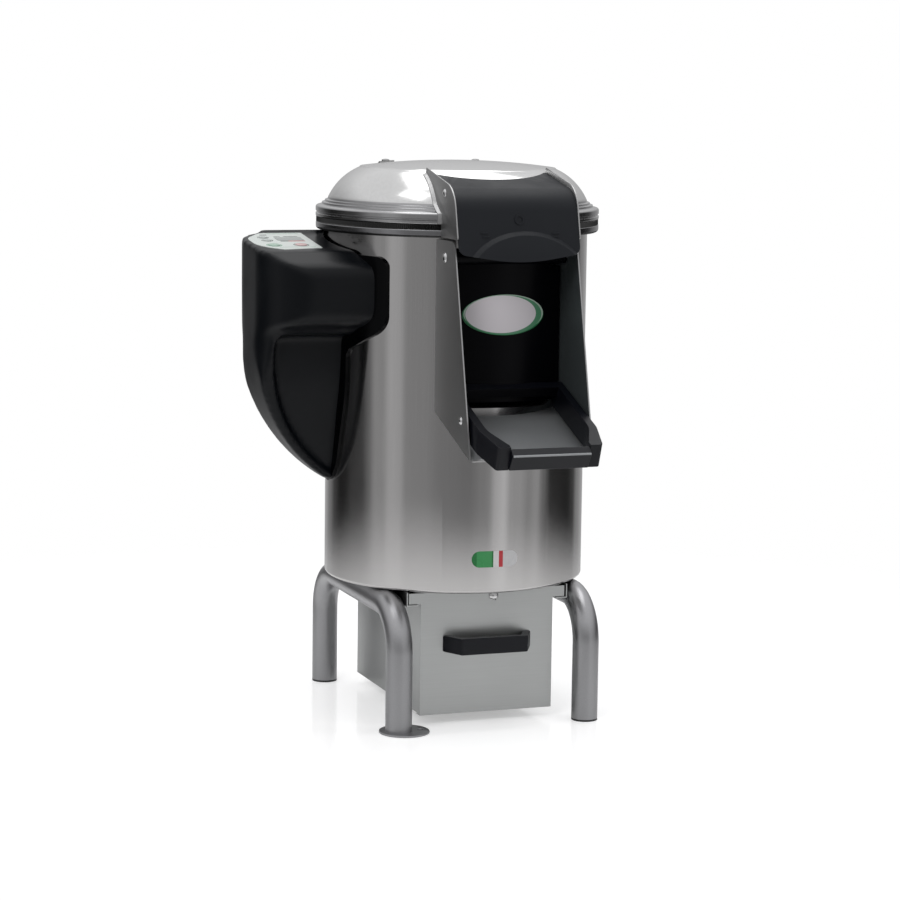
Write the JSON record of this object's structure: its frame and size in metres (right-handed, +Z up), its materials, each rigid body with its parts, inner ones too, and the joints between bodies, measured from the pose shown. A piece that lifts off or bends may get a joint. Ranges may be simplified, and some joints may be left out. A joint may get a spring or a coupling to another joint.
{
  "type": "electric potato peeler",
  "caption": "Floor-standing drum peeler with hinged lid and hood, discharge chute with swinging door, abrasive disc, control box and peel drawer.",
  "frame": {"origin": "on the drum's vertical axis, at floor level", "axes": "+Z up along the drum's axis, -Y towards the discharge chute and the drawer's front, -X towards the control box"},
  "size_m": [0.5503, 0.6526, 0.844],
  "materials": {
    "brushed_sheet": "brushed stainless sheet",
    "stand_tube": "satin stainless tube",
    "bright_fixings": "bright turned steel",
    "cast_housing": "painted casting",
    "cast_aluminium": "as cast",
    "motor_paint": "grey paint",
    "abrasive": "coarse grit in resin",
    "rubber": "moulded rubber",
    "black_plastic": "fine moulded grain",
    "pale_label": "satin film",
    "display": "glossy dark window",
    "circuit_board": "lacquered board"
  },
  "bodies": {
    "chassis": {"frame_tube_left": "stand_tube", "frame_tube_right": "stand_tube", "floor_plate": "stand_tube", "foot_plugs": "rubber", "base_plate": "brushed_sheet", "base_bolts": "bright_fixings", "rail_left": "brushed_sheet", "rail_right": "brushed_sheet", "drum_shell": "brushed_sheet", "drum_rim": "brushed_sheet", "lid_seal": "rubber", "abrasive_liner": "abrasive", "chamber_floor": "brushed_sheet", "bearing_housing": "cast_housing", "shaft_bearings": "bright_fixings", "shaft_seal": "rubber", "drive_belt": "rubber", "motor_body": "motor_paint", "motor_mount": "brushed_sheet", "water_inlet": "bright_fixings", "chute": "brushed_sheet", "door_pivots": "bright_fixings", "catch_screws": "bright_fixings", "door_catches": "black_plastic", "hinge_bracket": "brushed_sheet", "hinge_pin": "bright_fixings", "control_cover": "black_plastic", "cover_edge": "black_plastic", "control_label": "pale_label", "display_window": "display", "key_board": "circuit_board", "electrics_plate": "brushed_sheet", "contactor": "black_plastic", "terminal_block": "pale_label", "run_capacitor": "cast_aluminium", "cable_gland": "black_plastic"},
    "lid": {"lid_dome": "brushed_sheet", "hood_cheek_left": "brushed_sheet", "hood_cheek_right": "brushed_sheet", "hood_screws": "bright_fixings", "hood_panel": "black_plastic", "hinge_straps": "brushed_sheet"},
    "door": {"door_panel": "black_plastic", "door_arms": "black_plastic", "door_grip": "black_plastic"},
    "disc": {"abrasive_disc": "abrasive", "disc_nut": "black_plastic", "drive_shaft": "bright_fixings", "driven_pulley": "cast_aluminium"},
    "motor_rotor": {"motor_shaft": "bright_fixings", "motor_pulley": "cast_aluminium"},
    "drawer": {"drawer_tray": "brushed_sheet", "drawer_front": "brushed_sheet", "drawer_handle": "black_plastic", "drawer_catch": "black_plastic", "filter_basket": "brushed_sheet"},
    "start_button": {"start_key": "pale_label"},
    "stop_button": {"stop_key": "pale_label"},
    "timer_up_button": {"timer_up_key": "pale_label"},
    "timer_down_button": {"timer_down_key": "pale_label"}
  },
  "joints": [
    {"name": "lid_hinge", "type": "hinge", "parent": "chassis", "child": "lid", "pos_m": [0, 0.232, 0.758], "axis": [-1, 0, 0], "range_deg": [0, 80]},
    {"name": "door_swing", "type": "hinge", "parent": "chassis", "child": "door", "pos_m": [0, -0.214, 0.711], "axis": [-1, 0, 0], "range_deg": [0, 60]},
    {"name": "disc_spin", "type": "hinge", "parent": "chassis", "child": "disc", "pos_m": [0, 0, 0.4], "axis": [0, 0, 1], "continuous": true},
    {"name": "motor_spin", "type": "hinge", "parent": "chassis", "child": "motor_rotor", "pos_m": [0, 0.112, 0.24], "axis": [0, 0, 1], "continuous": true},
    {"name": "drawer_slide", "type": "slide", "parent": "chassis", "child": "drawer", "axis": [0, -1, 0], "range_m": [0, 0.28]},
    {"name": "start_press", "type": "slide", "parent": "chassis", "child": "start_button", "axis": [0, 0.1184, -0.993], "range_m": [0, 0.0008], "stiffness_N_per_m": 400},
    {"name": "stop_press", "type": "slide", "parent": "chassis", "child": "stop_button", "axis": [0, 0.1184, -0.993], "range_m": [0, 0.0008], "stiffness_N_per_m": 400},
    {"name": "timer_up_press", "type": "slide", "parent": "chassis", "child": "timer_up_button", "axis": [0, 0.1184, -0.993], "range_m": [0, 0.0008], "stiffness_N_per_m": 400},
    {"name": "timer_down_press", "type": "slide", "parent": "chassis", "child": "timer_down_button", "axis": [0, 0.1184, -0.993], "range_m": [0, 0.0008], "stiffness_N_per_m": 400}
  ],
  "couplings": [
    {"joint": "motor_spin", "follows": "disc_spin", "ratio": 4.171}
  ]
}
